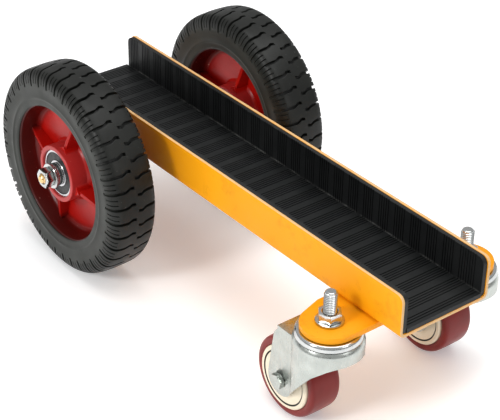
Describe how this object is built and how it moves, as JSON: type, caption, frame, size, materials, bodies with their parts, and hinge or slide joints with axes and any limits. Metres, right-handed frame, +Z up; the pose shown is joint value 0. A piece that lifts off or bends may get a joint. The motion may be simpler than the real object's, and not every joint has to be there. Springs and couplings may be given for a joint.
{
  "type": "slab dolly",
  "caption": "Low dolly for carrying a slab or board on edge: a rubber-lined steel trough on large rear wheels, with a swivel caster at each side of the other end.",
  "frame": {"origin": "on the floor, under the middle of the trough's length and width", "axes": "+X along the trough towards the caster end, +Y to the left side, +Z up"},
  "size_m": [0.5264, 0.2864, 0.208],
  "materials": {
    "yellow_paint": "semi-gloss yellow-orange enamel with pale worn edges",
    "liner_rubber": "matt black ribbed rubber",
    "tyre_rubber": "matt dark grey rubber",
    "red_rim": "glossy deep red",
    "caster_red": "satin dark red polyurethane",
    "cream_nylon": "matt cream moulding",
    "zinc": "bright zinc plate",
    "bearing_steel": "ground steel"
  },
  "bodies": {
    "frame": {"trough": "yellow_paint", "floor_liner": "liner_rubber", "wall_liner_right": "liner_rubber", "wall_liner_left": "liner_rubber", "caster_plate": "yellow_paint", "axle": "zinc", "hub_spacer_right": "zinc", "hub_spacer_left": "zinc", "inboard_sleeve_right": "zinc", "inboard_sleeve_left": "zinc", "outboard_collar_right": "zinc", "outboard_collar_left": "zinc", "axle_washer_right": "zinc", "axle_washer_left": "zinc", "axle_nut_right": "zinc", "axle_nut_left": "zinc", "caster_stem_right": "zinc", "caster_stem_left": "zinc", "stem_washer_right": "zinc", "stem_washer_left": "zinc", "stem_nut_right": "zinc", "stem_nut_left": "zinc", "upper_race_right": "zinc", "upper_race_left": "zinc", "lower_race_right": "zinc", "lower_race_left": "zinc"},
    "rear_wheel_right": {"rim_right": "red_rim", "tyre_right": "tyre_rubber", "outer_bearing_right": "bearing_steel", "inner_bearing_right": "bearing_steel"},
    "rear_wheel_left": {"rim_left": "red_rim", "tyre_left": "tyre_rubber", "outer_bearing_left": "bearing_steel", "inner_bearing_left": "bearing_steel"},
    "caster_right": {"fork_right": "zinc", "upper_balls_right": "bearing_steel", "lower_balls_right": "bearing_steel", "axle_sleeve_right": "zinc", "caster_bolt_right": "zinc", "caster_bolt_nut_right": "zinc"},
    "caster_left": {"fork_left": "zinc", "upper_balls_left": "bearing_steel", "lower_balls_left": "bearing_steel", "axle_sleeve_left": "zinc", "caster_bolt_left": "zinc", "caster_bolt_nut_left": "zinc"},
    "caster_wheel_right": {"caster_tread_right": "caster_red", "caster_core_right": "cream_nylon", "outer_cover_right": "cream_nylon", "inner_cover_right": "cream_nylon", "outer_caster_bearing_right": "bearing_steel", "inner_caster_bearing_right": "bearing_steel"},
    "caster_wheel_left": {"caster_tread_left": "caster_red", "caster_core_left": "cream_nylon", "outer_cover_left": "cream_nylon", "inner_cover_left": "cream_nylon", "outer_caster_bearing_left": "bearing_steel", "inner_caster_bearing_left": "bearing_steel"}
  },
  "joints": [
    {"name": "rear_wheel_right_spin", "type": "hinge", "parent": "frame", "child": "rear_wheel_right", "pos_m": [-0.13885, -0.10175, 0.104], "axis": [0, 1, 0], "continuous": true},
    {"name": "rear_wheel_left_spin", "type": "hinge", "parent": "frame", "child": "rear_wheel_left", "pos_m": [-0.13885, 0.10175, 0.104], "axis": [0, 1, 0], "continuous": true},
    {"name": "caster_right_swivel", "type": "hinge", "parent": "frame", "child": "caster_right", "pos_m": [0.20845, -0.078, 0.09], "axis": [0, 0, 1], "continuous": true},
    {"name": "caster_left_swivel", "type": "hinge", "parent": "frame", "child": "caster_left", "pos_m": [0.20845, 0.078, 0.09], "axis": [0, 0, 1], "continuous": true},
    {"name": "caster_wheel_right_roll", "type": "hinge", "parent": "caster_right", "child": "caster_wheel_right", "pos_m": [0.17195, -0.078, 0.0383], "axis": [0, 1, 0], "continuous": true},
    {"name": "caster_wheel_left_roll", "type": "hinge", "parent": "caster_left", "child": "caster_wheel_left", "pos_m": [0.17195, 0.078, 0.0383], "axis": [0, 1, 0], "continuous": true}
  ]
}
